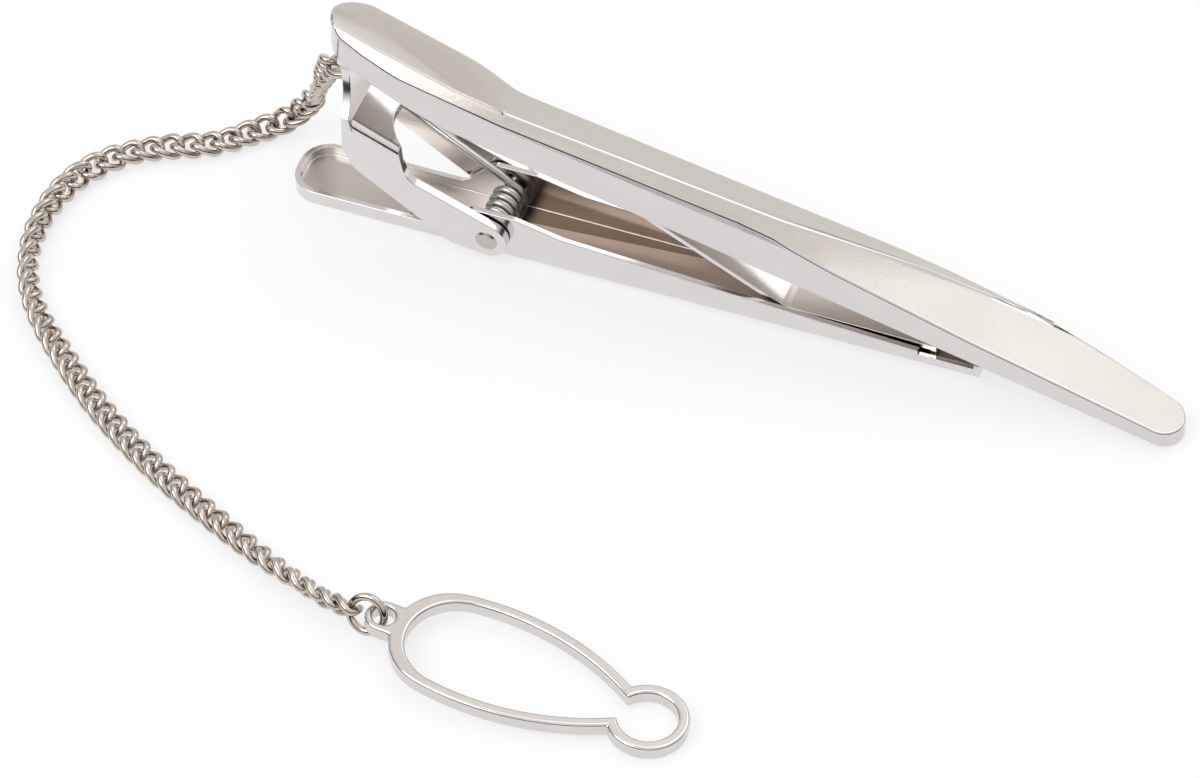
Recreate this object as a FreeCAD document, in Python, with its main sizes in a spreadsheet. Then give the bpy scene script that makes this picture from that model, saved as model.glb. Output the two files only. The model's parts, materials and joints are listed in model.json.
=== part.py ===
import FreeCAD
import Part
import Sketcher
import math
import os
import re

from FreeCAD import Placement, Rotation, Vector

# Tie clip with a button chain. Lengths are in millimetres, angles in degrees.
# The origin is on the lever's underside, straight below the pivot. +X runs to the bar's tip, +Z is up.
# The clip lies as it does on a table: the lever's tail, the bar's tip, the chain and the loop touch it.

sizes = {
    # Lever, a stamped tray
    "lever_tilt": 1.4,
    "tail_length": 14.0,
    "tip_length": 32.75,
    "lever_width": 4.5,
    "lever_tip_width": 4.2,
    "lever_sheet": 0.4,
    "tail_radius": 1.9,
    "tail_wall": 1.0,
    "ear_wall": 3.3,
    "ear_foot": 3.4,
    "ear_back": 1.4,
    "ear_front": 1.6,
    "ear_radius": 1.0,
    "tip_wall": 0.95,
    "bite_length": 4.1,
    "bite_wall": 0.6,
    "tooth_depth": 0.28,
    # Pivot
    "pivot_height": 1.63,
    "pin_radius": 0.55,
    "pin_head_radius": 0.75,
    "pin_head": 0.12,
    "pin_running_gap": 0.04,
    "pin_seat_gap": 0.01,
    # Front bar
    "bar_back": 11.7,
    "bar_front": 46.0,
    "bar_lift": 10.1,
    "bar_slope": 12.76,
    "bar_width": 6.4,
    "bar_ridge": 3.56,
    # Hinge bracket, bent from sheet
    "bracket_sheet": 0.65,
    "side_gap": 0.1,
    "knee_back": 9.8,
    "strap_back": 10.8,
    "strap_top_width": 2.2,
    "seat_length": 2.4,
    "knee_height": 9.2,
    "web_front": 6.0,
    "web_drop": 1.6,
    "web_cut_radius": 2.9,
    "web_cut_depth": 1.2,
    "arm_radius": 1.33,
    "arm_shoulder": 5.5,
    "arm_toe": 2.5,
    "arm_heel": 9.0,
    "arm_top_angle": 21.0,
    "arm_sole_angle": 6.0,
    "arm_bottom_angle": 33.8,
    "arm_back_drop": 2.8,
    "fold_radius": 0.6,
    "heel_radius": 0.9,
    "shoulder_radius": 1.6,
    # Upper jaw, a strip soldered under the bar
    "jaw_sheet": 0.4,
    "jaw_width": 3.2,
    "jaw_back": 5.0,
    "jaw_leave": 5.8,
    "jaw_bend": 19.6,
    "jaw_bend_height": 1.75,
    "jaw_tip": 29.3,
    "jaw_tip_height": 1.9,
    "jaw_bend_radius": 1.2,
    "bite_gap": 0.07,
    # Torsion spring
    "wire": 0.5,
    "coil_gap": 0.05,
    "coil_pitch": 0.62,
    "upper_leg": 9.4,
    "upper_leg_angle": 31.8,
    "lower_leg": 5.8,
    "leg_gap": 0.1,
    # Chain eye, a wire staple on the strap
    "eye_wire": 0.5,
    "eye_width": 1.9,
    "eye_leg": 0.55,
    "eye_height": 10.9,
    # Curb chain
    "link_wire": 0.46,
    "link_slack": 0.15,
    "link_width": 1.96,
    "link_twist": 55.0,
    "chain_reach": 27.4,
    "chain_drop": 33.4,
    "chain_bed": 0.02,
    # Jump ring
    "ring_wire": 0.5,
    "ring_radius": 1.15,
    "ring_lean": 25.0,
    # Button loop, a flat keyhole plate
    "loop_x": 5.42,
    "loop_y": 34.2,
    "loop_turn": 4.0,
    "loop_thick": 1.0,
    "loop_rise": 0.82,
    "tab_radius": 1.2,
    "tab_hole_radius": 0.72,
    "oval_start": 0.7,
    "oval_crown": 7.0,
    "oval_width": 8.3,
    "oval_side_radius": 17.95,
    "oval_band": 0.72,
    "oval_end_band": 1.07,
    "button_centre": 17.84,
    "button_radius": 1.87,
    "button_band": 0.74,
    # One overrun serves every cut
    "overrun": 1.0,
}

# Counts
lever_teeth = 4
jaw_teeth = 4
coil_turns = 4
chain_nodes = 14
links_per_node = 4
link_segments = 12
link_sides = 6

document = FreeCAD.newDocument("tie_clip")
sheet = document.addObject("Spreadsheet::Sheet", "Sizes")
for row, (alias, number) in enumerate(sizes.items(), start=1):
    sheet.set(f"A{row}", alias)
    sheet.set(f"B{row}", str(number))
    sheet.setAlias(f"B{row}", alias)
document.recompute()

exported = []


def size(alias):
    return float(sheet.get(alias))


def bound(formula):
    def cell(match):
        word = match.group()
        return f"Sizes.{word}" if word in sizes else word
    return re.sub(r"[a-z_]+", cell, formula)


def measure(formula):
    return float(sheet.evalExpression(bound(formula)))


def new_body(label):
    body = document.addObject("PartDesign::Body", label)
    body.Label = label
    exported.append(body)
    return body


def new_feature(label, shape, placement=None):
    feature = document.addObject("Part::Feature", label)
    feature.Label = label
    feature.Shape = shape
    feature.Placement = placement or Placement()
    exported.append(feature)
    return feature


def new_sketch(body, name, role, offset=None):
    plane = next(item for item in body.Origin.OriginFeatures if item.Role == role)
    sketch = body.newObject("Sketcher::SketchObject", name)
    sketch.AttachmentSupport = (plane, [""])
    sketch.MapMode = "FlatFace"
    if offset:
        sketch.setExpression("AttachmentOffset.Base.z", bound(offset))
    return sketch


def hold_point(sketch, geometry, position, across, up):
    for kind, formula in (("DistanceX", across), ("DistanceY", up)):
        rule = Sketcher.Constraint(kind, -1, 1, geometry, position, measure(formula))
        index = sketch.addConstraint(rule)
        sketch.setExpression(f"Constraints[{index}]", bound(formula))


def draw_outline(sketch, corners):
    places = [Vector(measure(across), measure(up), 0) for across, up in corners]
    first = sketch.GeometryCount
    count = len(corners)
    for index in range(count):
        line = Part.LineSegment(places[index], places[(index + 1) % count])
        sketch.addGeometry(line, False)
    for index in range(count):
        following = first + (index + 1) % count
        sketch.addConstraint(Sketcher.Constraint("Coincident", first + index, 2, following, 1))
    for index, (across, up) in enumerate(corners):
        hold_point(sketch, first + index, 1, across, up)


def draw_circle(sketch, across, up, radius):
    centre = Vector(measure(across), measure(up), 0)
    circle = Part.Circle(centre, Vector(0, 0, 1), measure(radius))
    geometry = sketch.addGeometry(circle, False)
    hold_point(sketch, geometry, 3, across, up)
    index = sketch.addConstraint(Sketcher.Constraint("Radius", geometry, measure(radius)))
    sketch.setExpression(f"Constraints[{index}]", bound(radius))


def add_pad(body, sketch, name, length, symmetric=False):
    pad = body.newObject("PartDesign::Pad", name)
    pad.Profile = sketch
    pad.setExpression("Length", bound(length))
    pad.SideType = "Symmetric" if symmetric else "One side"
    document.recompute()
    return pad


def add_pocket(body, sketch, name, length, symmetric=False, reverse=False):
    before = body.Shape.Volume
    pocket = body.newObject("PartDesign::Pocket", name)
    pocket.Profile = sketch
    pocket.setExpression("Length", bound(length))
    pocket.SideType = "Symmetric" if symmetric else "One side"
    pocket.Reversed = reverse
    document.recompute()
    if body.Shape.Volume >= before:
        raise ValueError(f"{name} cuts nothing from {body.Label}")
    return pocket


def add_fillet(body, name, radius, wanted):
    tip = body.Tip
    names = [f"Edge{index}" for index, edge in enumerate(tip.Shape.Edges, start=1) if wanted(edge)]
    fillet = body.newObject("PartDesign::Fillet", name)
    fillet.Base = (tip, names)
    fillet.setExpression("Radius", bound(radius))
    document.recompute()
    return fillet


def near(first, second):
    return abs(first - second) < FreeCAD.Base.Precision.approximation()


def crosses_at(edge, corners):
    """True for an edge along Y that stands at one of the given corners of a side view."""
    ends = [vertex.Point for vertex in edge.Vertexes]
    if len(ends) != 2 or not near(ends[0].x, ends[1].x) or not near(ends[0].z, ends[1].z):
        return False
    places = [(measure(across), measure(up)) for across, up in corners]
    return any(near(ends[0].x, across) and near(ends[0].z, up) for across, up in places)


# Places that several pieces share
pivot_x = "(-pivot_height * sin(lever_tilt))"
pivot_z = "(pivot_height * cos(lever_tilt))"
web_front_height = "(knee_height - web_drop)"
bracket_width = "(lever_width + 2 * side_gap + 2 * bracket_sheet)"
strap_rise = "(bar_lift + strap_back * tan(bar_slope) - knee_height)"
table_height = measure("-tail_length * sin(lever_tilt)")
pivot = Vector(measure(pivot_x), 0, measure(pivot_z))


def underside(x):
    """Formula of the height of the bar's underside at x, itself a formula."""
    return f"(bar_lift - ({x}) * tan(bar_slope))"


def make_lever():
    body = new_body("lever")
    plan = new_sketch(body, "lever_plan", "XY_Plane")
    draw_outline(plan, [
        ("-tail_length", "-lever_width / 2"),
        ("0", "-lever_width / 2"),
        ("tip_length", "-lever_tip_width / 2"),
        ("tip_length", "lever_tip_width / 2"),
        ("0", "lever_width / 2"),
        ("-tail_length", "lever_width / 2"),
    ])
    add_pad(body, plan, "lever_blank", "ear_wall + overrun")

    def tail_corner(edge):
        ends = [vertex.Point for vertex in edge.Vertexes]
        upright = near(ends[0].x, ends[1].x) and near(ends[0].y, ends[1].y)
        return upright and near(ends[0].x, -size("tail_length"))
    add_fillet(body, "tail_round", "tail_radius", tail_corner)

    tip = body.Tip
    heights = [face.CenterOfMass.z for face in tip.Shape.Faces]
    tray = body.newObject("PartDesign::Thickness", "tray")
    tray.Base = (tip, [f"Face{heights.index(max(heights)) + 1}"])
    tray.setExpression("Value", bound("lever_sheet"))
    tray.Reversed = True
    document.recompute()

    # The rim falls from the ears to the tip, with a notch where the upper jaw bites
    rim_shares = [(0.147, 0.773), (0.379, 0.606), (0.684, 0.394)]
    rim = [(f"tip_length * {along}", f"ear_wall * {high}") for along, high in rim_shares]
    side = new_sketch(body, "rim_line", "XZ_Plane")
    foot = ("-ear_foot", "tail_wall")
    back = ("-ear_back", "ear_wall")
    front = ("ear_front", "ear_wall")
    above = "ear_wall + 2 * overrun"
    draw_outline(side, [
        ("-tail_length - overrun", above),
        ("-tail_length - overrun", "tail_wall"),
        foot,
        back,
        front,
        *rim,
        ("tip_length - bite_length", "tip_wall"),
        ("tip_length - bite_length", "bite_wall"),
        ("tip_length - lever_sheet", "bite_wall"),
        ("tip_length - lever_sheet", "tip_wall"),
        ("tip_length + overrun", "tip_wall"),
        ("tip_length + overrun", above),
    ])
    add_pocket(body, side, "rim_cut", "lever_width + 2 * overrun", symmetric=True)
    add_fillet(body, "ear_round", "ear_radius", lambda edge: crosses_at(edge, [foot, back, front]))

    hole = new_sketch(body, "pin_hole", "XZ_Plane")
    draw_circle(hole, "0", "pivot_height", "pin_radius + pin_running_gap")
    add_pocket(body, hole, "pin_holes", "lever_width + 2 * overrun", symmetric=True)

    teeth = new_sketch(body, "lever_teeth", "YZ_Plane")
    draw_teeth(teeth, lever_teeth, "(lever_tip_width - 4 * lever_sheet)", "tip_wall", "-")
    add_pocket(body, teeth, "lever_tooth_cuts", "tip_length + overrun", reverse=True)
    body.Placement = Placement(Vector(), Rotation(Vector(0, -1, 0), size("lever_tilt")))


def draw_teeth(sketch, count, width, edge_height, inward):
    """V cuts side by side across a width. Inward is the sign of the way from the edge into the sheet."""
    step = f"{width} / {count}"
    outward = "+" if inward == "-" else "-"
    for index in range(count):
        middle = f"({index} - {count - 1} / 2) * {step}"
        # Past the edge each V keeps its slope for one more depth, so that it opens cleanly
        open_height = f"{edge_height} {outward} tooth_depth"
        draw_outline(sketch, [
            (middle, f"{edge_height} {inward} tooth_depth"),
            (f"{middle} + {step} / 2", open_height),
            (f"{middle} - {step} / 2", open_height),
        ])


def make_pin():
    body = new_body("pivot_pin")
    head_flat_share = 0.8
    profile = new_sketch(body, "pin_profile", "XY_Plane")
    half = f"{bracket_width} / 2"
    draw_outline(profile, [
        ("0", f"-{half} - pin_head"),
        (f"pin_head_radius * {head_flat_share}", f"-{half} - pin_head"),
        ("pin_head_radius", f"-{half}"),
        ("pin_radius", f"-{half}"),
        ("pin_radius", half),
        ("pin_head_radius", half),
        (f"pin_head_radius * {head_flat_share}", f"{half} + pin_head"),
        ("0", f"{half} + pin_head"),
    ])
    turned = body.newObject("PartDesign::Revolution", "pin_turned")
    turned.Profile = profile
    turned.ReferenceAxis = (profile, ["V_Axis"])
    body.Placement = Placement(pivot, Rotation())
    document.recompute()


def make_bracket():
    body = new_body("hinge_bracket")
    inner_width = "(lever_width + 2 * side_gap)"
    shoulder = (
        "-arm_shoulder",
        f"{pivot_z} + arm_radius * cos(arm_top_angle)"
        f" + (arm_shoulder + {pivot_x} + arm_radius * sin(arm_top_angle)) * tan(arm_top_angle)",
    )
    toe = (
        "-arm_toe",
        f"{pivot_z} - arm_radius * cos(arm_sole_angle)"
        f" + (arm_toe + {pivot_x} - arm_radius * sin(arm_sole_angle)) * tan(arm_sole_angle)",
    )
    heel = ("-arm_heel", f"{toe[1]} + (arm_heel - arm_toe) * tan(arm_bottom_angle)")
    knee = ("-knee_back", "knee_height")
    web_end = ("-web_front", web_front_height)
    back = ("-knee_back", "knee_height - arm_back_drop")
    sides = new_sketch(body, "arm_outline", "XZ_Plane")
    draw_outline(sides, [
        knee,
        web_end,
        shoulder,
        (f"{pivot_x} + arm_radius * sin(arm_top_angle)", f"{pivot_z} + arm_radius * cos(arm_top_angle)"),
        (f"{pivot_x} - arm_radius * sin(arm_sole_angle)", f"{pivot_z} - arm_radius * cos(arm_sole_angle)"),
        toe,
        heel,
        back,
    ])
    add_pad(body, sides, "arm_block", bracket_width, symmetric=True)
    ends = new_sketch(body, "arm_end", "XZ_Plane")
    draw_circle(ends, pivot_x, pivot_z, "arm_radius")
    add_pad(body, ends, "arm_ends", bracket_width, symmetric=True)
    add_fillet(body, "arm_corners", "heel_radius", lambda edge: crosses_at(edge, [toe, heel, back]))
    add_fillet(body, "arm_shoulders", "shoulder_radius", lambda edge: crosses_at(edge, [shoulder]))

    # The space between the arms is open, except for the web at the top
    space = new_sketch(body, "arm_space", "XZ_Plane")
    web_slope = "web_drop / (knee_back - web_front)"
    draw_outline(space, [
        ("-knee_back - overrun", f"knee_height - bracket_sheet + overrun * {web_slope}"),
        ("-web_front", f"{web_front_height} - bracket_sheet"),
        ("-web_front", "knee_height"),
        ("arm_radius + overrun", "knee_height"),
        ("arm_radius + overrun", "-overrun"),
        ("-knee_back - overrun", "-overrun"),
    ])
    add_pocket(body, space, "arm_opening", inner_width, symmetric=True)

    curve = new_sketch(body, "web_curve", "XY_Plane", "knee_height")
    draw_circle(curve, "-web_front - web_cut_depth + web_cut_radius", "0", "web_cut_radius")
    add_pocket(body, curve, "web_cut", "web_drop + 2 * bracket_sheet")

    strap = new_sketch(body, "strap_outline", "XZ_Plane")
    strap_sheet = f"(bracket_sheet / cos(atan((strap_back - knee_back) / {strap_rise})))"
    strap_inside = f"-strap_back + {strap_sheet}"
    draw_outline(strap, [
        ("-knee_back", "knee_height - bracket_sheet"),
        knee,
        ("-strap_back", underside("-strap_back")),
        (strap_inside, underside(strap_inside)),
        (f"-knee_back + {strap_sheet}", "knee_height - bracket_sheet"),
    ])
    add_pad(body, strap, "strap", bracket_width, symmetric=True)
    # Round cuts on both sides narrow the strap towards the bar
    narrowing = f"(({bracket_width} - strap_top_width) / 2)"
    cut_radius = f"(({strap_rise} ^ 2 + {narrowing} ^ 2) / (2 * {narrowing}))"
    waist = new_sketch(body, "strap_waist", "YZ_Plane")
    for side in ("-", ""):
        centre = f"{side}(strap_top_width / 2 + {cut_radius})"
        draw_circle(waist, centre, underside("-strap_back"), cut_radius)
    add_pocket(body, waist, "strap_sides", "2 * strap_back + 2 * overrun", symmetric=True)

    seat = new_sketch(body, "seat_outline", "XZ_Plane")
    seat_end = "-strap_back + seat_length"
    draw_outline(seat, [
        ("-strap_back", underside("-strap_back")),
        (seat_end, underside(seat_end)),
        (seat_end, f"{underside(seat_end)} - bracket_sheet"),
        ("-strap_back", f"{underside('-strap_back')} - bracket_sheet"),
    ])
    add_pad(body, seat, "seat", "strap_top_width", symmetric=True)

    hole = new_sketch(body, "arm_hole", "XZ_Plane")
    draw_circle(hole, pivot_x, pivot_z, "pin_radius + pin_seat_gap")
    add_pocket(body, hole, "arm_holes", f"{bracket_width} + 2 * overrun", symmetric=True)

    def fold(edge):
        ends = [vertex.Point for vertex in edge.Vertexes]
        outer = all(near(abs(point.y), measure(bracket_width) / 2) for point in ends)
        across = abs(ends[0].x - ends[-1].x) > size("bracket_sheet")
        high = measure(web_front_height) - size("bracket_sheet")
        return outer and across and min(point.z for point in ends) > high
    add_fillet(body, "folds", "fold_radius", fold)


def make_jaw():
    body = new_body("upper_jaw")
    lip_bottom = "(lever_sheet / cos(lever_tilt) + (jaw_tip + jaw_sheet) * tan(lever_tilt) + bite_gap)"
    slope_sheet = "(jaw_sheet / cos(atan((bar_lift - jaw_bend_height) / jaw_bend)))"
    bend = ("jaw_bend", "jaw_bend_height")
    under_bend = ("jaw_bend", "jaw_bend_height - jaw_sheet")
    leave = ("jaw_leave", f"{underside('jaw_leave')} - {slope_sheet}")
    profile = new_sketch(body, "jaw_profile", "XZ_Plane")
    draw_outline(profile, [
        ("-jaw_back", underside("-jaw_back")),
        ("jaw_leave", underside("jaw_leave")),
        bend,
        ("jaw_tip + jaw_sheet", "jaw_tip_height"),
        ("jaw_tip + jaw_sheet", lip_bottom),
        ("jaw_tip", lip_bottom),
        ("jaw_tip", "jaw_tip_height - jaw_sheet"),
        under_bend,
        leave,
        ("-jaw_back", f"{underside('-jaw_back')} - jaw_sheet"),
    ])
    add_pad(body, profile, "jaw_strip", "jaw_width", symmetric=True)
    bends = [bend, under_bend, leave]
    add_fillet(body, "jaw_bends", "jaw_bend_radius", lambda edge: crosses_at(edge, bends))
    teeth = new_sketch(body, "jaw_teeth", "YZ_Plane")
    draw_teeth(teeth, jaw_teeth, "jaw_width", lip_bottom, "+")
    add_pocket(body, teeth, "jaw_tooth_cuts", "jaw_tip + jaw_sheet + overrun", reverse=True)


def make_bar():
    """Dress bar: a prism with the bar's plan outline under a lofted roof of crossing facets."""
    half = size("bar_width") / 2
    ridge = size("bar_ridge")

    def station(share):
        return share * (size("bar_front") if share > 0 else size("bar_back"))

    def on_underside(x):
        return measure(underside(str(x)))

    def plan_point(place):
        x = station(place[0])
        return Vector(x, place[1] * half, on_underside(x))

    # Plan outline as shares of the reach from the pivot and of the half width
    near_shares = [
        (-0.89, -0.42), (-0.47, -0.83), (0.02, -0.98), (0.165, -0.88), (0.276, -0.79), (0.374, -0.71),
        (0.45, -0.78), (0.54, -0.86), (0.7, -0.81), (0.82, -0.85), (0.96, -0.89),
    ]
    far_front_shares = [
        (0.96, 0.12), (0.87, 0.38), (0.79, 0.52), (0.7, 0.66), (0.6, 0.755), (0.44, 0.7), (0.185, 0.545),
        (0.007, 0.415),
    ]
    far_back_shares = [(0.007, 0.415), (-0.31, 0.755), (-0.53, 0.84), (-0.83, 0.935)]
    tip_shares = (1.0, -0.28)
    hinge_end_shares = (-1.0, 0.3)

    def curve(shares):
        spline = Part.BSplineCurve()
        spline.interpolate([plan_point(place) for place in shares])
        return spline.toShape()

    def end_round(first, middle, last):
        return Part.Arc(plan_point(first), plan_point(middle), plan_point(last)).toShape()

    outline = Part.Wire([
        curve(near_shares),
        end_round(near_shares[-1], tip_shares, far_front_shares[0]),
        curve(far_front_shares),
        curve(far_back_shares),
        end_round(far_back_shares[-1], hinge_end_shares, near_shares[0]),
    ])
    tall = ridge + size("bar_lift")
    prism = Part.Face(outline).extrude(Vector(0, 0, tall))

    # Roof sections: share along, height at the near side, foot of the bevel, ridge, crest and height at the
    # far side. Across is a share of the half width, height a share of the ridge.
    roof_shares = [
        (-1.1, 0.05, (-0.36, 0.385), (-0.10, 0.62), (0.22, 0.63), 0.33),
        (-0.68, 0.25, (-0.733, 0.53), (-0.45, 0.775), (0.125, 0.70), 0.28),
        (-0.21, 0.57, (-1.0, 0.695), (-0.735, 0.92), (0.06, 0.70), 0.16),
        (0.022, 0.65, (-1.03, 0.745), (-0.77, 0.965), (-0.125, 0.65), 0.05),
        (0.174, 0.56, (-0.953, 0.70), (-0.665, 0.945), (-0.14, 0.675), 0.10),
        (0.317, 0.48, (-0.88, 0.63), (-0.555, 0.93), (0.0, 0.68), 0.115),
        (0.413, 0.506, (-0.47, 0.90), (-0.39, 0.965), (0.14, 0.66), 0.155),
        (0.5, 0.585, (-0.18, 0.845), (-0.12, 0.90), (0.3, 0.6), 0.15),
        (0.61, 0.409, (0.15, 0.70), (0.21, 0.75), (0.48, 0.54), 0.15),
        (0.704, 0.377, (0.35, 0.585), (0.39, 0.62), (0.54, 0.48), 0.14),
        (0.79, 0.397, (0.46, 0.445), (0.5, 0.46), (0.6, 0.41), 0.26),
        (0.89, 0.386, (0.4, 0.375), (0.44, 0.374), (0.5, 0.372), 0.35),
        (1.03, 0.325, (0.4, 0.325), (0.44, 0.325), (0.5, 0.325), 0.325),
    ]
    sections = []
    for along, near_high, foot, top, crest, far_high in roof_shares:
        x = station(along)
        floor = on_underside(x)
        below = floor - size("overrun")
        near_edge = -half - size("overrun") / 2
        far_edge = half + size("overrun") / 5
        across_up = [(near_edge, near_high), (foot[0] * half, foot[1]), (top[0] * half, top[1])]
        across_up += [(crest[0] * half, crest[1]), (far_edge, far_high)]
        points = [Vector(x, across, floor + high * ridge) for across, high in across_up]
        points = [Vector(x, near_edge, below), *points, Vector(x, far_edge, below)]
        sections.append(Part.makePolygon([*points, points[0]]))
    roof = Part.makeLoft(sections, True, True)
    new_feature("front_bar", prism.common(roof))


def make_spring():
    """One wire: along the tray's floor, round the pin, then up under the web."""
    wire = size("wire")
    radius = size("pin_radius") + size("coil_gap") + wire / 2
    lower_start = -90.0 - size("lever_tilt")
    upper_end = 90.0 - size("upper_leg_angle")
    total = upper_end - lower_start + 360.0 * coil_turns
    quarter = 90.0
    steps = round(total / quarter)
    width = size("coil_pitch") * total / 360.0
    rise = size("coil_pitch") / math.tau

    def on_coil(angle):
        turn = math.radians(angle)
        advance = (angle - lower_start) / total - 0.5
        return pivot + Vector(radius * math.cos(turn), width * advance, radius * math.sin(turn))

    def along_coil(angle, climbing):
        turn = math.radians(angle)
        climb = rise if climbing else 0
        return Vector(-radius * math.sin(turn), climb, radius * math.cos(turn)).normalize()

    def tangent_arc(start, corner, end):
        tangent = (corner - start).Length
        inward = (start + end) / 2 - corner
        half_turn = math.asin(inward.Length / tangent)
        middle = corner + inward.normalize() * (tangent * math.tan(half_turn / 2))
        return Part.Arc(start, middle, end).toShape()

    edges = []
    angles = [lower_start + total * step / steps for step in range(steps + 1)]
    first_point = on_coil(angles[0])
    first_way = along_coil(angles[0], False)
    lower_tip = first_point - first_way * size("lower_leg")
    edges.append(Part.LineSegment(lower_tip, first_point).toShape())
    for step in range(steps):
        start = on_coil(angles[step])
        end = on_coil(angles[step + 1])
        start_way = along_coil(angles[step], step > 0)
        end_way = along_coil(angles[step + 1], step < steps - 1)
        gap = end - start
        both = start_way + end_way
        # Equal tangents: the length solves |gap - both * length| = 2 * length
        square = both.dot(both) - 4
        linear = -2 * gap.dot(both)
        constant = gap.dot(gap)
        length = (-linear - math.sqrt(linear * linear - 4 * square * constant)) / (2 * square)
        first_corner = start + start_way * length
        second_corner = end - end_way * length
        joint = (first_corner + second_corner) / 2
        edges.append(tangent_arc(start, first_corner, joint))
        edges.append(tangent_arc(joint, second_corner, end))
    last_point = on_coil(angles[-1])
    upper_tip = last_point + along_coil(angles[-1], False) * size("upper_leg")
    edges.append(Part.LineSegment(last_point, upper_tip).toShape())
    path = Part.Wire(edges)
    circle = Part.Circle(lower_tip, first_way, wire / 2).toShape()
    spring = path.makePipeShell([Part.Wire([circle])], True, False)

    samples_per_turn = 48
    turns_between = 0.5
    count = round(samples_per_turn * total / 360.0)
    sampled = [on_coil(lower_start + total * index / count) for index in range(count + 1)]
    apart = round(samples_per_turn * turns_between)
    least = min(
        (sampled[one] - sampled[other]).Length
        for one in range(len(sampled))
        for other in range(one + apart, len(sampled))
    )
    print(f"spring: wire length {path.Length:.1f}, least gap to itself {least - wire:.2f}")
    new_feature("torsion_spring", spring)


def eye_placement():
    """The staple stands square on the back of the strap, which leans back towards the bar."""
    lean = math.atan((size("strap_back") - size("knee_back")) / measure(strap_rise))
    back = size("knee_back") + (size("eye_height") - size("knee_height")) * math.tan(lean)
    outward = Vector(-math.cos(lean), 0, -math.sin(lean))
    across = Vector(0, 1, 0)
    square = Rotation(outward, across, outward.cross(across), "XYZ")
    return Placement(Vector(-back, 0, size("eye_height")), square)


def eye_end():
    """Middle of the staple's wire where the first link hangs."""
    return eye_placement().multVec(Vector(size("eye_leg") + size("eye_width") / 2, 0, 0))


def make_eye():
    half = size("eye_width") / 2
    leg = size("eye_leg")
    arc = Part.Arc(Vector(leg, -half, 0), Vector(leg + half, 0, 0), Vector(leg, half, 0)).toShape()
    near_leg = Part.LineSegment(Vector(0, -half, 0), Vector(leg, -half, 0)).toShape()
    far_leg = Part.LineSegment(Vector(leg, half, 0), Vector(0, half, 0)).toShape()
    path = Part.Wire([near_leg, arc, far_leg])
    circle = Part.Circle(Vector(0, -half, 0), Vector(1, 0, 0), size("eye_wire") / 2).toShape()
    staple = path.makePipeShell([Part.Wire([circle])], True, False)
    new_feature("chain_eye", staple, eye_placement())


def loop_placement():
    """The loop's tab hangs on the ring, its button end lies on the table."""
    lie = size("loop_rise") / (size("button_centre") + size("button_radius") + size("button_band"))
    turn = Rotation(Vector(0, 0, 1), -size("loop_turn"))
    dip = Rotation(Vector(0, 1, 0), math.degrees(math.asin(lie)))
    height = table_height + size("loop_rise")
    return Placement(Vector(size("loop_x"), -size("loop_y"), height), turn * dip)


def ring_placement():
    """The ring stands in the tab's hole and leans to one side."""
    turn = Rotation(Vector(0, 0, 1), -size("loop_turn"))
    upright = Rotation(Vector(1, 0, 0), 90.0 - size("ring_lean"))
    hole = loop_placement().multVec(Vector(0, 0, size("loop_thick") / 2))
    back = turn.multVec(Vector(-size("ring_radius"), 0, 0))
    return Placement(hole + back, turn * upright)


def make_ring():
    ring = document.addObject("Part::Torus", "jump_ring")
    ring.Label = "jump_ring"
    ring.setExpression("Radius1", bound("ring_radius"))
    ring.setExpression("Radius2", bound("ring_wire / 2"))
    ring.Placement = ring_placement()
    exported.append(ring)


def make_loop():
    """Flat plate: an oval band that opens through a neck into the button ring, with a tab at its start."""
    thick = size("loop_thick")
    up = Vector(0, 0, 1)

    def oval(start, half_width, side_radius):
        crown = size("oval_crown")
        drop = side_radius - half_width
        end_radius = ((crown - start) ** 2 + drop ** 2 - side_radius ** 2)
        end_radius = end_radius / (2 * (crown - start) - 2 * side_radius)
        end_centre = start + end_radius
        far = Part.makeCylinder(side_radius, thick, Vector(crown, -drop, 0), up)
        close = Part.makeCylinder(side_radius, thick, Vector(crown, drop, 0), up)
        lens = far.common(close)
        toward = Vector(end_centre - crown, drop, 0).normalize()
        meet_x = end_centre + toward.x * end_radius
        block = Part.makeBox(side_radius, side_radius, thick, Vector(meet_x, -side_radius / 2, 0), up)
        return lens.common(block).fuse(Part.makeCylinder(end_radius, thick, Vector(end_centre, 0, 0), up))

    start = size("oval_start")
    half = size("oval_width") / 2
    band = size("oval_band")
    centre = Vector(size("button_centre"), 0, 0)
    tab_radius = size("tab_radius")
    tab = Part.makeCylinder(tab_radius, thick, Vector(), up)
    neck = Part.makeBox(2 * start, 2 * tab_radius, thick, Vector(0, -tab_radius, 0), up)
    outer_ring = Part.makeCylinder(size("button_radius") + size("button_band"), thick, centre, up)
    plate = oval(start, half, size("oval_side_radius")).fuse([outer_ring, tab, neck])
    inside = oval(start + size("oval_end_band"), half - band, size("oval_side_radius") - band)
    button_hole = Part.makeCylinder(size("button_radius"), thick, centre, up)
    tab_hole = Part.makeCylinder(size("tab_hole_radius"), thick, Vector(), up)
    plate = plate.cut([inside, button_hole, tab_hole]).removeSplitter()
    new_feature("button_loop", plate, loop_placement())


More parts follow.
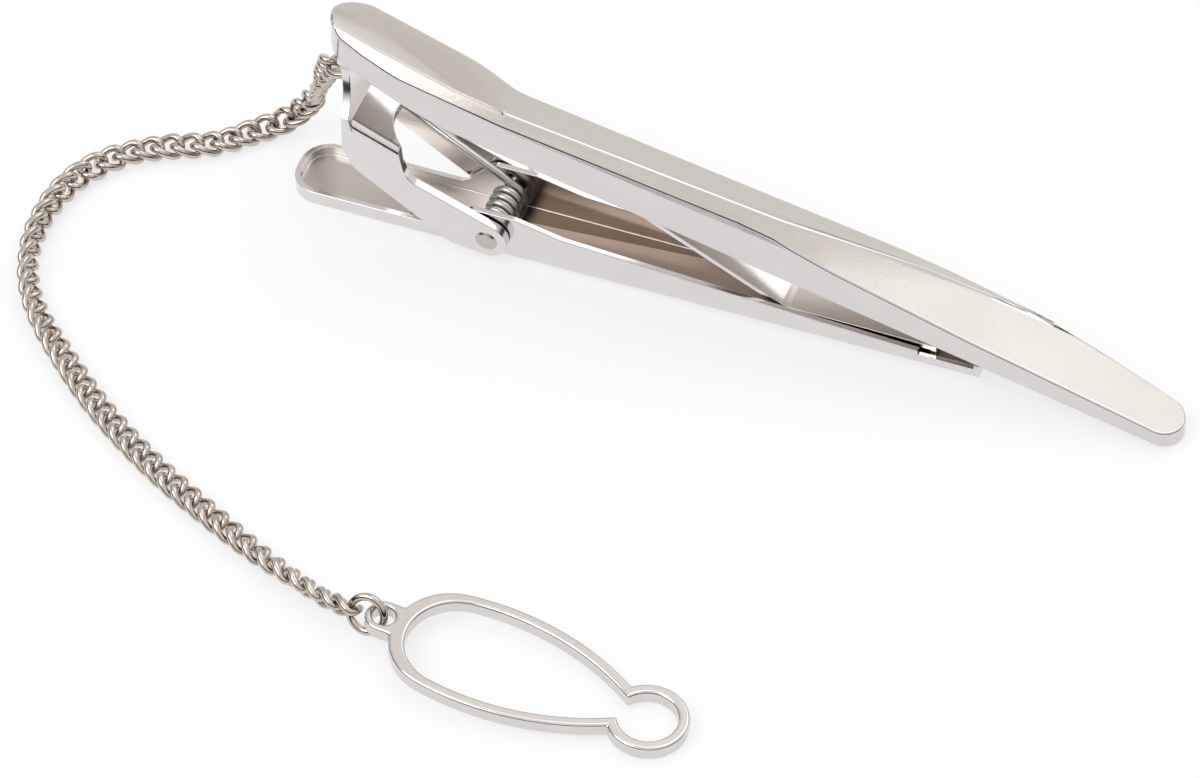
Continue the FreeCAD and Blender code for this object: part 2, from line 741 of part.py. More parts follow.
def link_solid(half_length):
    """One curb link: wire on an oval that twists along its length, as flat facets."""
    radius = size("link_wire") / 2
    half_width = (size("link_width") - size("link_wire")) / 2
    twist = math.radians(size("link_twist"))
    squareness = 0.8

    def eased(number):
        return math.copysign(abs(number) ** squareness, number)

    def middle(turn):
        along = half_length * eased(math.cos(turn))
        across = half_width * eased(math.sin(turn))
        lean = twist * along / half_length
        return Vector(along, across * math.cos(lean), across * math.sin(lean))

    rings = []
    middles = []
    blink = math.tau / 1000
    for segment in range(link_segments):
        turn = math.tau * (segment + 0.5) / link_segments
        centre = middle(turn)
        way = (middle(turn + blink) - middle(turn - blink)).normalize()
        lean = twist * centre.x / half_length
        face_up = Vector(0, -math.sin(lean), math.cos(lean))
        outward = way.cross(face_up).normalize()
        upward = outward.cross(way).normalize()
        ring = []
        for side in range(link_sides):
            angle = math.tau * side / link_sides
            ring.append(centre + outward * (radius * math.cos(angle)) + upward * (radius * math.sin(angle)))
        rings.append(ring)
        middles.append(centre)
    faces = []
    for segment in range(link_segments):
        this = rings[segment]
        following = rings[(segment + 1) % link_segments]
        for side in range(link_sides):
            beside = (side + 1) % link_sides
            lower = (this[side], following[side], following[beside])
            upper = (this[side], following[beside], this[beside])
            for corners in (lower, upper):
                faces.append(Part.Face(Part.makePolygon([*corners, corners[0]])))
    solid = Part.Solid(Part.Shell(faces))
    if solid.Volume < 0:
        solid.reverse()
    return solid, middles


def make_chain():
    """Curb chain from the staple, down to the table and round to the jump ring."""
    reach = size("chain_reach")
    drop = size("chain_drop")
    hang = size("eye_height") - table_height
    lie_share = 0.31
    bed = size("link_width") * lie_share
    # Route as shares of how far the chain reaches back, how far it comes forward and how high it hangs,
    # with the roll of the links in degrees
    route_shares = [
        (-0.453, 0.021, 0.786, -88), (-0.483, 0.053, 0.584, -70), (-0.506, 0.087, 0.353, -57),
        (-0.543, 0.099, 0.185, -41), (-0.565, 0.095, 0.098, -26), (-0.606, 0.081, 0.022, -22),
        (-0.65, 0.049, 0.0, -12), (-0.712, -0.001, 0.0, 1), (-0.814, -0.044, 0.0, -6),
        (-0.905, -0.096, 0.0, 6),
        (-0.971, -0.177, 0.0, -45), (-1.0, -0.29, 0.0, -70), (-0.982, -0.41, 0.0, -70),
        (-0.916, -0.515, 0.0, -45), (-0.814, -0.6, 0.0, -15), (-0.686, -0.69, 0.0, 0),
        (-0.562, -0.763, 0.0, 0), (-0.414, -0.835, 0.0, 0), (-0.27, -0.895, 0.0, -10),
        (-0.124, -0.952, 0.0, -35), (0.0, -0.992, 0.015, -60),
    ]
    eye_roll = -102.0
    ring_roll = -65.0
    ring_frame = ring_placement()
    ring_end = ring_frame.multVec(Vector(-size("ring_radius"), 0, 0))
    points = [eye_end()]
    rolls = [eye_roll]
    for across, forward, high, roll in route_shares:
        height = table_height + bed + (hang - bed) * high
        points.append(Vector(across * reach, forward * drop, height))
        rolls.append(roll)
    points.append(ring_end)
    rolls.append(ring_roll)
    route = Part.BSplineCurve()
    route.interpolate(points)
    length = route.length()
    marks = [route.parameter(point) for point in points]

    count = chain_nodes * links_per_node
    hold = size("link_wire") + size("link_slack")
    pitch = (length + hold) / count
    half_length = (pitch + hold) / 2
    shape, middles = link_solid(half_length)

    def place_at(distance):
        return route.value(route.parameterAtDistance(min(max(distance, 0), length), route.FirstParameter))

    def roll_at(distance):
        mark = route.parameterAtDistance(min(max(distance, 0), length), route.FirstParameter)
        for index in range(len(marks) - 1):
            if mark <= marks[index + 1]:
                share = (mark - marks[index]) / (marks[index + 1] - marks[index])
                return rolls[index] + share * (rolls[index + 1] - rolls[index])
        return rolls[-1]

    placements = []
    joints = []
    for index in range(count):
        start = place_at(index * pitch - hold / 2)
        end = place_at((index + 1) * pitch - hold / 2)
        along = (end - start).normalize()
        sideways = Vector(0, 0, 1).cross(along).normalize()
        frame = Rotation(along, sideways, along.cross(sideways), "XYZ")
        roll = Rotation(Vector(1, 0, 0), roll_at((index + 0.5) * pitch - hold / 2))
        centre = (start + end) / 2
        if index == 0:
            centre = eye_end() + along * (pitch - half_length)
        if index == count - 1:
            centre = ring_end - along * (pitch - half_length)
        placements.append(Placement(centre, frame * roll))
        joints.append(start)

    # A link that lies on the table rests on its lowest point
    for placement in placements:
        lowest = min(placement.multVec(vertex.Point).z for vertex in shape.Vertexes)
        lift = table_height + size("chain_bed") - lowest
        placement.Base = placement.Base + Vector(0, 0, max(lift, 0))

    gaps = []
    paths = [[placement.multVec(point) for point in fine_path(middles)] for placement in placements]
    for index in range(count - 1):
        apart = min((one - other).Length for one in paths[index] for other in paths[index + 1])
        gaps.append(round(apart - size("link_wire"), 3))
    print(f"chain: route {length:.1f}, pitch {pitch:.3f}, least gap between links {min(gaps)}")
    print(gaps)

    for node in range(chain_nodes):
        first = node * links_per_node
        links = []
        for placement in placements[first:first + links_per_node]:
            link = shape.copy()
            link.Placement = placement
            links.append(link)
        new_feature(f"chain_links_{node + 1:02d}", Part.makeCompound(links))
    for index in range(0, count, 2 * links_per_node):
        print(f"chain joint before link {index}: {tuple(round(number, 4) for number in joints[index])}")
    print(f"ring end {tuple(round(number, 4) for number in ring_end)}")


def fine_path(middles):
    """The straight stretches between a link's section centres, divided for measuring."""
    parts = 4
    fine = []
    for index, point in enumerate(middles):
        following = middles[(index + 1) % len(middles)]
        fine += [point + (following - point) * (step / parts) for step in range(parts)]
    return fine


make_lever()
make_pin()
make_bracket()
make_jaw()
make_bar()
make_spring()
make_eye()
make_ring()
make_loop()
make_chain()
document.recompute()

for item in document.Objects:
    if "Invalid" in item.State or "Error" in item.State:
        raise ValueError(f"{item.Name} failed: {item.State}")
for item in exported:
    if item.Shape.isNull() or not item.Shape.isValid():
        raise ValueError(f"{item.Label} has no valid shape")

os.makedirs("parts", exist_ok=True)
for item in exported:
    item.Shape.exportStep(f"parts/{item.Label}.step")
    print(f"{item.Label}: {len(item.Shape.Solids)} solids, {item.Shape.Volume:.2f} cubic mm")

hole = loop_placement().multVec(Vector(0, 0, size("loop_thick") / 2))
button = loop_placement().multVec(Vector(size("button_centre"), 0, size("loop_thick") / 2))
button_axis = loop_placement().Rotation.multVec(Vector(0, 0, 1))
print(f"table {table_height:.4f}, pivot {tuple(pivot)}, tab hole {tuple(hole)}")
print(f"button ring {tuple(button)}, axis {tuple(button_axis)}")
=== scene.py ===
import json
import math

import bmesh
import bpy
from mathutils import Matrix, Vector


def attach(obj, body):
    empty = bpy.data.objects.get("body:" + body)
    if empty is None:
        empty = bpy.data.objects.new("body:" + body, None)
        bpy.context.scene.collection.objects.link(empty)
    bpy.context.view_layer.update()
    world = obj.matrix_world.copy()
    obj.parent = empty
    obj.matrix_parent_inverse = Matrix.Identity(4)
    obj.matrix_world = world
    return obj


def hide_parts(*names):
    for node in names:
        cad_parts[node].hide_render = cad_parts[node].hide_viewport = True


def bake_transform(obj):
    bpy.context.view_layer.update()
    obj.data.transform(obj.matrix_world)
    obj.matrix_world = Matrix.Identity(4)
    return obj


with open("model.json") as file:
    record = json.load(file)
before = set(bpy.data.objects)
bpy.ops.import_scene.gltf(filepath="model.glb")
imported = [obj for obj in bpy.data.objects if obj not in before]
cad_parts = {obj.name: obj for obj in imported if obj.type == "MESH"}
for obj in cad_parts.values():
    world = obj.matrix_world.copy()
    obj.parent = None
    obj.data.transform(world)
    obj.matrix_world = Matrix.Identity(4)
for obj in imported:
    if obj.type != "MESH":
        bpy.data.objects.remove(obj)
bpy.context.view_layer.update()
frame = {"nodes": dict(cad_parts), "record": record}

mm = 0.001  # everything in the scene is in metres
scene = bpy.context.scene
scene.view_settings.view_transform = "Standard"
print("clip loaded:", len(frame["nodes"]), "nodes")

mixSockets = {"first": 6, "second": 7, "result": 2}  # where a Mix node keeps its colours


def hexToLinear(code):
    channels = [int(code[index:index + 2], 16) / 255 for index in (0, 2, 4)]
    linear = [value / 12.92 if value <= 0.04045 else ((value + 0.055) / 1.055) ** 2.4
              for value in channels]
    return (*linear, 1.0)


def addNode(tree, kind, settings=None, links=None):
    node = tree.nodes.new(kind)
    for key, value in (settings or {}).items():
        if key in node.inputs:
            node.inputs[key].default_value = value
        else:
            setattr(node, key, value)
    for key, source in (links or {}).items():
        tree.links.new(source, node.inputs[key])
    return node


def newMaterial(name):
    material = bpy.data.materials.new(name)
    material.use_nodes = True
    tree = material.node_tree
    tree.nodes.clear()
    output = addNode(tree, "ShaderNodeOutputMaterial")
    return material, tree, output


# What each finish gives the eye. Clouds change the tone and the gloss, grain and scratches the relief.
finishes = {
    # rhodium plate over bead-blasted brass: soft warm grey with a fine even grain
    "satinRhodium": {"light": "d4cec7", "dark": "c8c1b9", "rough": (0.32, 0.40), "cloudMm": 5.0,
                     "grainMm": 0.15, "grain": 0.50, "scratchMm": 0.22, "scratch": 0.10},
    # the same plate on the casting's unworked underside: duller and rougher, and a little darker as
    # painted shade
    "bareCastingPaintedShade": {"light": "d4ccc4", "dark": "c2b9b0", "rough": (0.42, 0.55), "cloudMm": 2.0,
                    "grainMm": 0.25, "grain": 0.3, "scratchMm": 0.3, "scratch": 0.05},
    # plated sheet that was blasted before it was bent: an even grey
    "blastedSheet": {"light": "d3ccc4", "dark": "c6beb5", "rough": (0.30, 0.38), "cloudMm": 3.0,
                     "grainMm": 0.13, "grain": 0.15, "scratchMm": 0.2, "scratch": 0.08},
    # painted shade on the inside of the tray under the bar: warm and dark, standing in for the bar's
    # shadow and dark reflection
    "paintedTrayShade": {"light": "6d5d4e", "dark": "5b4c3f", "rough": (0.26, 0.36), "cloudMm": 2.5,
                  "grainMm": 0.2, "grain": 0.12, "scratchMm": 0.2, "scratch": 0.10},
    # painted shade, lighter: the tray's floor nearer its open side, less shaded by the bar: warm mid
    # grey
    "paintedTrayHalfShade": {"light": "9a8b7c", "dark": "86776a", "rough": (0.24, 0.34), "cloudMm": 2.5,
                  "grainMm": 0.2, "grain": 0.12, "scratchMm": 0.2, "scratch": 0.12},
    # rhodium plate over buffed brass: near-mirror with faint buffing lines
    "buffedRhodium": {"light": "dedada", "dark": "d3cecd", "rough": (0.08, 0.14), "cloudMm": 3.0,
                      "grainMm": 0.35, "grain": 0.03, "scratchMm": 0.16, "scratch": 0.05},
    # plated sheet as it comes from the press tool: bright with shallow draw lines
    "stampedSheet": {"light": "e8e4e4", "dark": "dbd6d5", "rough": (0.12, 0.20), "cloudMm": 2.5,
                     "grainMm": 0.3, "grain": 0.05, "scratchMm": 0.2, "scratch": 0.12},
    # plated curb chain, barrel polished: bright, slightly soft reflections
    "barrelPolished": {"light": "d6cdc4", "dark": "b8aca0", "rough": (0.09, 0.17), "cloudMm": 1.6,
                       "grainMm": 0.3, "grain": 0.04, "scratchMm": 0.2, "scratch": 0.04},
    # drawn spring wire: grey steel with fine drawing lines
    "drawnWire": {"light": "d4d1cd", "dark": "bfbab5", "rough": (0.24, 0.34), "cloudMm": 1.2,
                  "grainMm": 0.2, "grain": 0.05, "scratchMm": 0.12, "scratch": 0.10},
    # steel pin, peened and plated over with the arm: nearly its colour, a little softer
    "peenedSteel": {"light": "d0cbc8", "dark": "bdb6b0", "rough": (0.18, 0.28), "cloudMm": 0.8,
                    "grainMm": 0.15, "grain": 0.12, "scratchMm": 0.15, "scratch": 0.08},
}
# Shared by all of them
surface = {"reliefMm": 0.02, "cloudDetail": 3.0, "grainDetail": 2.0, "scratchDetail": 1.0,
           "scratchStretch": (0.04, 1.0, 1.0), "cloudSpan": (0.3, 0.7)}


def makeFinish(name):
    look = finishes[name]
    material, tree, output = newMaterial(name)
    place = addNode(tree, "ShaderNodeTexCoord")
    clouds = addNode(tree, "ShaderNodeTexNoise",
                     {"Scale": 1 / (look["cloudMm"] * mm), "Detail": surface["cloudDetail"]},
                     {"Vector": place.outputs["Object"]})
    # blasted grain is finer, it is drawn this coarse to show
    grain = addNode(tree, "ShaderNodeTexNoise",
                    {"Scale": 1 / (look["grainMm"] * mm), "Detail": surface["grainDetail"]},
                    {"Vector": place.outputs["Object"]})
    # buffing lines run along the clip
    stretched = addNode(tree, "ShaderNodeMapping", {"Scale": surface["scratchStretch"]},
                        {"Vector": place.outputs["Object"]})
    lines = addNode(tree, "ShaderNodeTexNoise",
                    {"Scale": 1 / (look["scratchMm"] * mm), "Detail": surface["scratchDetail"]},
                    {"Vector": stretched.outputs["Vector"]})
    tone = addNode(tree, "ShaderNodeMix", {"data_type": "RGBA"}, {"Factor": clouds.outputs["Fac"]})
    tone.inputs[mixSockets["first"]].default_value = hexToLinear(look["dark"])
    tone.inputs[mixSockets["second"]].default_value = hexToLinear(look["light"])
    cloudLow, cloudHigh = surface["cloudSpan"]
    glossy, dull = look["rough"]
    rough = addNode(tree, "ShaderNodeMapRange",
                    {"From Min": cloudLow, "From Max": cloudHigh, "To Min": glossy, "To Max": dull},
                    {"Value": clouds.outputs["Fac"]})
    relief = surface["reliefMm"] * mm
    fine = addNode(tree, "ShaderNodeBump", {"Strength": look["grain"], "Distance": relief},
                   {"Height": grain.outputs["Fac"]})
    buffed = addNode(tree, "ShaderNodeBump", {"Strength": look["scratch"], "Distance": relief},
                     {"Height": lines.outputs["Fac"], "Normal": fine.outputs["Normal"]})
    metal = addNode(tree, "ShaderNodeBsdfPrincipled", {"Metallic": 1.0},
                    {"Base Color": tone.outputs[mixSockets["result"]],
                     "Roughness": rough.outputs["Result"], "Normal": buffed.outputs["Normal"]})
    tree.links.new(metal.outputs["BSDF"], output.inputs["Surface"])
    return material


materials = {name: makeFinish(name) for name in finishes}
print("finishes made:", ", ".join(materials))


# The solids of the clip. Lengths are in mm and angles in degrees. "finish" is on walls and eased edges,
# "top" on faces that look up and "under", with a little painted shade, on faces that look down. topFrom
# and underTo say how far up or down a face has to look, topSide how far it may look to the front.
dressing = {
    # satin leaves with buffed walls, the ridge rolled over as far as rollTo
    "front_bar": {"name": "dressBar", "slot": "satin_plate", "finish": "buffedRhodium",
                  "top": "satinRhodium", "topFrom": 0.35, "topSide": -0.61,
                  "under": "bareCastingPaintedShade", "underTo": -0.5, "ease": 0.15, "crease": 22, "flat": 5,
                  "rollTo": 18.0, "roll": 0.45, "tipLine": ((43.1, 0.65), (45.15, 0.2195))},
    "hinge_bracket": {"name": "hingeBracket", "slot": "bright_plate", "finish": "stampedSheet",
                      "ease": 0.06, "crease": 30},
    "upper_jaw": {"name": "jawStrip", "slot": "bright_plate", "finish": "stampedSheet",
                  "top": "blastedSheet", "topFrom": 0.9, "topSide": -0.5, "ease": 0.05, "crease": 30},
    "pivot_pin": {"name": "pivotPin", "slot": "pin_steel", "finish": "peenedSteel",
                  "ease": 0.03, "crease": 35},
    "chain_eye": {"name": "chainStaple", "slot": "chain_plate", "finish": "barrelPolished",
                  "ease": 0.0, "crease": 40},
    # the tray's floor is lower than topBelow: grey on the tail, past shadeFrom painted shade,
    # dark behind openLine and lighter before it
    "lever": {"name": "leverTray", "slot": "bright_plate", "finish": "stampedSheet",
              "top": "blastedSheet", "topFrom": 0.9, "topSide": -0.5, "topBelow": 0.6,
              "ease": 0.06, "crease": 30, "shade": "paintedTrayShade", "shadeFrom": 1.0,
              "open": "paintedTrayHalfShade", "openLine": ((1.7, 0.5), (16.8, 1.6))},
    "jump_ring": {"name": "jumpRing", "slot": "chain_plate", "finish": "barrelPolished",
                  "ease": 0.0, "crease": 40},
    "button_loop": {"name": "buttonLoop", "slot": "satin_plate", "finish": "buffedRhodium",
                    "top": "blastedSheet", "topFrom": 0.9, "topSide": -0.5, "ease": 0.20, "crease": 30},
}
meshWork = {"mergeMm": 0.001, "cutMm": 0.0001, "flat": 0.6, "rollSteps": 6, "easeSteps": 3}
beyond = 100  # mm, further than any end of the clip
bodyOf = {node: body for body, nodes in frame["record"]["behaviour"]["bodies"].items()
          for node in nodes}
restPlane = Vector(frame["record"]["mounts"][0]["axis"])  # square to the tray's underside, pointing down


def mergeDoubles(shape):
    bmesh.ops.remove_doubles(shape, verts=shape.verts[:], dist=meshWork["mergeMm"] * mm)


def copySolid(node):
    shape = bmesh.new()
    shape.from_mesh(frame["nodes"][node].data)
    mergeDoubles(shape)
    return shape


def addObject(shape, name):
    mesh = bpy.data.meshes.new(name)
    shape.to_mesh(mesh)
    shape.free()
    piece = bpy.data.objects.new(name, mesh)
    scene.collection.objects.link(piece)
    return piece


def finishPiece(shape, name, node):
    piece = addObject(shape, name)
    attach(piece, bodyOf[node])
    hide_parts(node)
    return piece


def openPoint(spec):
    return Vector((*spec["openLine"][0], 0)) * mm


def openWay(spec):
    (startX, startY), (endX, endY) = spec["openLine"]
    return Vector((startY - endY, endX - startX, 0)).normalized()


def zoneOf(face, spec):
    middle = face.calc_center_median()
    rolled = middle.x < spec.get("rollTo", -beyond) * mm
    looksUp = "top" in spec and face.normal.z > spec["topFrom"]
    if looksUp and (rolled or face.normal.y > spec["topSide"]):
        if -restPlane.dot(middle) < spec.get("topBelow", beyond) * mm:
            # past shadeFrom the tray's floor gets painted shade, dark behind the open line and lighter
            # before it
            if middle.x < spec.get("shadeFrom", beyond) * mm:
                return "top"
            return "open" if (middle - openPoint(spec)).dot(openWay(spec)) < 0 else "shade"
    if "under" in spec and face.normal.z < spec["underTo"]:
        return "under"
    return "finish"


def cutAlong(shape, point, way):
    everything = shape.verts[:] + shape.edges[:] + shape.faces[:]
    bmesh.ops.bisect_plane(shape, geom=everything, dist=meshWork["cutMm"] * mm,
                           plane_co=point, plane_no=way)


# The far edge runs straight into the round tip
def straightenTip(shape, spec):
    (startX, startY), (endX, endY) = spec["tipLine"]
    for vert in shape.verts:
        share = (vert.co.x / mm - startX) / (endX - startX)
        if 0 < share < 1 and vert.co.y > 0:
            vert.co.y = (startY + share * (endY - startY)) * mm


# The buffing wheel has rolled the ridge over
def rollRidge(shape, spec, crease):
    ridge = [edge for edge in shape.edges if edge.calc_face_angle(0) > crease
             and all(zoneOf(face, spec) == "top" for face in edge.link_faces)
             and all(vert.co.x < spec["rollTo"] * mm for vert in edge.verts)]
    bmesh.ops.bevel(shape, geom=ridge, offset=spec["roll"] * mm, offset_type="OFFSET",
                    segments=meshWork["rollSteps"], profile=0.5, affect="EDGES",
                    clamp_overlap=True, material=-1)
    shape.normal_update()


def easeEdges(piece, width, crease):
    ease = piece.modifiers.new("easedEdges", "BEVEL")
    ease.width = width
    ease.segments = meshWork["easeSteps"]
    ease.limit_method = "ANGLE"
    ease.angle_limit = crease
    ease.harden_normals = True
    ease.material = 0  # eased edges are bright whatever lies beside them
    ease.use_clamp_overlap = False  # the shortest edge would set the width of all


def dressSolid(node, spec):
    shape = copySolid(node)
    # facets that meet flatter than this are merged
    flat = math.radians(spec.get("flat", meshWork["flat"]))
    bmesh.ops.dissolve_limit(shape, angle_limit=flat, verts=shape.verts[:], edges=shape.edges[:],
                             delimit={"NORMAL"})
    if "shade" in spec:
        cutAlong(shape, (spec["shadeFrom"] * mm, 0, 0), (1, 0, 0))
        cutAlong(shape, openPoint(spec), openWay(spec))
    shape.normal_update()
    crease = math.radians(spec["crease"])
    if "tipLine" in spec:
        straightenTip(shape, spec)
    if "roll" in spec:
        rollRidge(shape, spec, crease)
    zones = [zone for zone in ("finish", "top", "under", "shade", "open") if zone in spec]
    for face in shape.faces:
        face.smooth = True
        face.material_index = zones.index(zoneOf(face, spec))
    for edge in shape.edges:
        edge.smooth = len(edge.link_faces) == 2 and edge.calc_face_angle(0) < crease
    piece = finishPiece(shape, spec["name"], node)
    for zone in zones:
        piece.data.materials.append(materials[spec[zone]])
    if spec["ease"] > 0:
        easeEdges(piece, spec["ease"] * mm, crease)


for node, spec in dressing.items():
    dressSolid(node, spec)
print("solids dressed:", len(dressing))


# Curb links: the faceted links made round. Subdividing draws a six-sided wire in by a sixth, so with
# this fatten the wire ends up about 8% thicker than the solid's.
links = {"wire": 0.46, "fatten": 0.30, "levels": 2, "joinAngle": 60}
chainNodes = [node for node in frame["nodes"] if node.startswith("chain_links")]


def roundLinks(node):
    shape = copySolid(node)
    joinAngle = math.radians(links["joinAngle"])
    bmesh.ops.join_triangles(shape, faces=shape.faces[:], angle_face_threshold=joinAngle,
                             angle_shape_threshold=joinAngle)
    shape.normal_update()
    grow = links["wire"] / 2 * links["fatten"] * mm
    moves = [(vert, vert.normal * grow) for vert in shape.verts]
    for vert, move in moves:
        vert.co += move
    for face in shape.faces:
        face.smooth = True
    piece = finishPiece(shape, node.replace("chain_links", "curbLinks"), node)
    piece.data.materials.append(materials["barrelPolished"])
    rounder = piece.modifiers.new("roundWire", "SUBSURF")
    rounder.levels = links["levels"]
    rounder.render_levels = links["levels"]


for node in chainNodes:
    roundLinks(node)
print("chain made:", len(chainNodes), "runs")


# Torsion spring on the pin, close wound as the real one
spring = {"wire": 0.52, "radius": 0.85, "pitch": 0.62, "turns": 4.41, "pivot": (-0.0398, 0.0, 1.6295),
          "sides": 12, "stepsPerTurn": 28, "lowerLeg": 5.7, "upperLeg": 9.3, "lowerTilt": 1.4,
          "upperAngle": 31.6}


def pullLeg(shape, loop, move):
    leg = bmesh.ops.extrude_edge_only(shape, edges=loop)
    legVerts = [item for item in leg["geom"] if isinstance(item, bmesh.types.BMVert)]
    bmesh.ops.translate(shape, verts=legVerts, vec=move)
    legLoop = [item for item in leg["geom"] if isinstance(item, bmesh.types.BMEdge)
               and all(vert in legVerts for vert in item.verts)]
    bmesh.ops.edgeloop_fill(shape, edges=legLoop)


def makeSpring():
    shape = bmesh.new()
    pivot = Vector(spring["pivot"]) * mm
    radius = spring["radius"] * mm
    lowerTurn = math.radians(spring["lowerTilt"])
    lowerWay = Vector((-math.cos(lowerTurn), 0, -math.sin(lowerTurn)))
    upperTurn = math.radians(spring["upperAngle"])
    upperWay = Vector((-math.cos(upperTurn), 0, math.sin(upperTurn)))
    # the wire starts as a circle at the coil's bottom, facing along the tray
    bmesh.ops.create_circle(shape, segments=spring["sides"], radius=spring["wire"] / 2 * mm,
                            cap_ends=False)
    turned = Matrix.Rotation(math.radians(90), 3, "Y")
    bmesh.ops.rotate(shape, verts=shape.verts[:], cent=(0, 0, 0), matrix=turned)
    width = spring["pitch"] * spring["turns"] * mm
    start = pivot + Vector((0, -width / 2, -radius))
    bmesh.ops.translate(shape, verts=shape.verts[:], vec=start)
    firstLoop = shape.edges[:]
    # lower leg first, along the tray's floor
    pullLeg(shape, firstLoop, lowerWay * spring["lowerLeg"] * mm)
    # then the turns
    angle = math.tau * math.floor(spring["turns"]) + math.pi - upperTurn
    steps = round(spring["stepsPerTurn"] * angle / math.tau)
    coil = bmesh.ops.spin(shape, geom=firstLoop, cent=pivot, axis=(0, -1, 0),
                          dvec=(0, width / steps, 0), angle=angle, steps=steps, use_duplicate=False)
    lastLoop = [item for item in coil["geom_last"] if isinstance(item, bmesh.types.BMEdge)]
    # and the upper leg, up under the web
    pullLeg(shape, lastLoop, upperWay * spring["upperLeg"] * mm)
    mergeDoubles(shape)
    bmesh.ops.recalc_face_normals(shape, faces=shape.faces[:])
    for face in shape.faces:
        face.smooth = len(face.verts) == 4
    piece = addObject(shape, "torsionSpring")
    piece.data.materials.append(materials["drawnWire"])
    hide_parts("torsion_spring")
    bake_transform(piece)


makeSpring()
print("spring wound")


# White paper on the table, matt. Sizes are in metres, only its height is in mm.
stageSet = {"tableZ": -0.3421, "tableSize": 1.2, "table": "f5f5f6", "rough": 0.9, "glow": 0.7}


def makeTable():
    shape = bmesh.new()
    bmesh.ops.create_grid(shape, x_segments=1, y_segments=1, size=stageSet["tableSize"] / 2)
    bmesh.ops.translate(shape, verts=shape.verts[:], vec=(0, 0, stageSet["tableZ"] * mm))
    table = addObject(shape, "table")
    material, tree, output = newMaterial("whitePaper")
    paper = addNode(tree, "ShaderNodeBsdfPrincipled",
                    {"Base Color": hexToLinear(stageSet["table"]), "Roughness": stageSet["rough"],
                     "Specular IOR Level": 0.0})
    # the eye and the metal see the paper nearly white, with less than a third of the clip's shadow
    ray = addNode(tree, "ShaderNodeLightPath")
    seen = addNode(tree, "ShaderNodeMath", {"operation": "MAXIMUM"},
                   {0: ray.outputs["Is Camera Ray"], 1: ray.outputs["Is Glossy Ray"]})
    share = addNode(tree, "ShaderNodeMath", {"operation": "MULTIPLY"}, {0: seen.outputs["Value"]})
    share.inputs[1].default_value = stageSet["glow"]
    white = addNode(tree, "ShaderNodeEmission", {"Strength": 1.0})
    mixed = addNode(tree, "ShaderNodeMixShader", None,
                    {"Fac": share.outputs["Value"], 1: paper.outputs["BSDF"],
                     2: white.outputs["Emission"]})
    tree.links.new(mixed.outputs["Shader"], output.inputs["Surface"])
    table.data.materials.append(material)


makeTable()

# The room by height of the view: dark at the front's horizon, paper all round, a dimmer strip high at
# the back. depth says where the front wall turns into the back one.
room = {"front": [(0.0, "2c2723"), (0.31, "2c2723"), (0.45, "dcdbdb"), (0.92, "f4f4f4")],
        "back": [(0.0, "e2e1e0"), (0.45, "e2e1e0"), (0.74, "d4d2d0"), (0.92, "f4f4f4")],
        "depth": (0.05, 0.6), "strength": 1.08}


def makeRoom():
    world = bpy.data.worlds.new("studio")
    scene.world = world
    world.use_nodes = True
    tree = world.node_tree
    tree.nodes.clear()
    output = addNode(tree, "ShaderNodeOutputWorld")
    way = addNode(tree, "ShaderNodeTexCoord")
    split = addNode(tree, "ShaderNodeSeparateXYZ", None, {"Vector": way.outputs["Generated"]})
    frontEnd, backStart = room["depth"]
    depth = addNode(tree, "ShaderNodeMapRange",
                    {"From Min": frontEnd, "From Max": backStart, "interpolation_type": "SMOOTHSTEP"},
                    {"Value": split.outputs["Y"]})
    walls = addNode(tree, "ShaderNodeMix", {"data_type": "RGBA"}, {"Factor": depth.outputs["Result"]})
    for side, socket in (("front", "first"), ("back", "second")):
        paper = addNode(tree, "ShaderNodeValToRGB", None, {"Fac": split.outputs["Z"]})
        stops = paper.color_ramp.elements
        for index, (height, code) in enumerate(room[side]):
            stop = stops[index] if index < 2 else stops.new(height)  # a new ramp has two stops
            stop.position = height
            stop.color = hexToLinear(code)
        tree.links.new(paper.outputs["Color"], walls.inputs[mixSockets[socket]])
    light = addNode(tree, "ShaderNodeBackground", {"Strength": room["strength"]},
                    {"Color": walls.outputs[mixSockets["result"]]})
    tree.links.new(light.outputs["Background"], output.inputs["Surface"])


makeRoom()

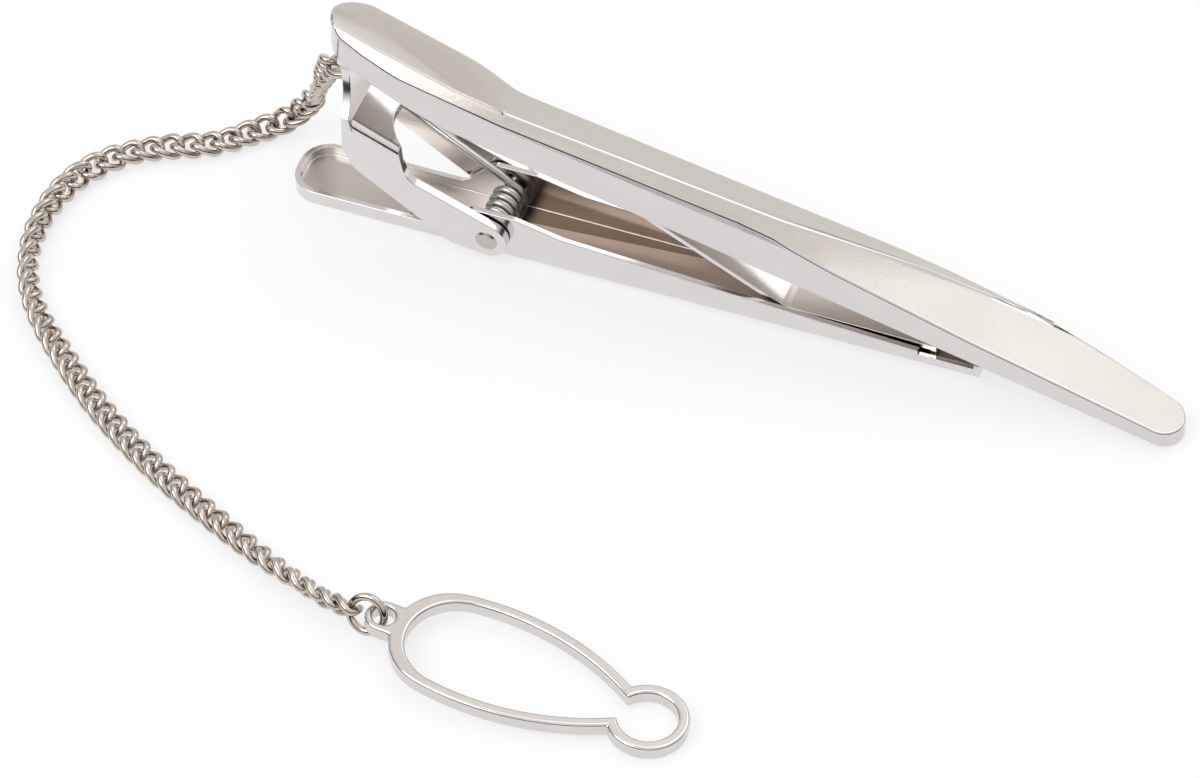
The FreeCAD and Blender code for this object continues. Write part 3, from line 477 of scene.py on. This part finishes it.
# Two softboxes, in metres and watts, that look at the middle of the clip
lampAim = (0.01, -0.012, 0)
lamps = [
    {"name": "overheadSoftbox", "place": (0.12, 0.34, 0.58), "size": 0.46, "power": 0.70,
     "colour": "f0f5ff"},
    {"name": "leftSoftbox", "place": (-0.36, -0.38, 0.60), "size": 0.50, "power": 1.9,
     "colour": "fdfdff"},
]
for spec in lamps:
    lamp = bpy.data.lights.new(spec["name"], "AREA")
    lamp.size = spec["size"]
    lamp.energy = spec["power"]
    lamp.color = hexToLinear(spec["colour"])[:3]
    holder = bpy.data.objects.new(spec["name"], lamp)
    scene.collection.objects.link(holder)
    holder.location = spec["place"]
    lampWay = Vector(lampAim) - Vector(spec["place"])
    holder.rotation_euler = lampWay.to_track_quat("-Z", "Y").to_euler()
print("table, room and lamps set")

# Camera where the photograph was taken, at a distance in mm. The photograph is 1200 by 778 pixels.
shot = {"azimuth": 21.0, "elevation": 48.0, "distance": 700.0, "pixelsPerMm": 15.75,
        "footPixel": (504.2, 229.7), "frame": (1200, 778), "sensor": 36.0, "clip": (0.01, 10.0)}


def makeCamera():
    turn = math.radians(shot["azimuth"])
    rise = math.radians(shot["elevation"])
    back = Vector((math.sin(turn) * math.cos(rise), -math.cos(turn) * math.cos(rise), math.sin(rise)))
    right = Vector((math.cos(turn), math.sin(turn), 0))
    up = back.cross(right)
    # the pivot's foot on the table shows at footPixel
    across = (shot["footPixel"][0] - shot["frame"][0] / 2) / shot["pixelsPerMm"]
    above = (shot["frame"][1] / 2 - shot["footPixel"][1]) / shot["pixelsPerMm"]
    target = Vector((0, 0, stageSet["tableZ"])) - right * across - up * above
    camera = bpy.data.cameras.new("photoCamera")
    camera.sensor_fit = "HORIZONTAL"
    camera.sensor_width = shot["sensor"]
    camera.lens = shot["pixelsPerMm"] * shot["distance"] / shot["frame"][0] * camera.sensor_width
    camera.clip_start, camera.clip_end = shot["clip"]
    holder = bpy.data.objects.new("photoCamera", camera)
    scene.collection.objects.link(holder)
    matrix = Matrix((right, up, back)).transposed().to_4x4()
    matrix.translation = (target + back * shot["distance"]) * mm
    holder.matrix_world = matrix
    scene.camera = holder


makeCamera()
print("camera set")
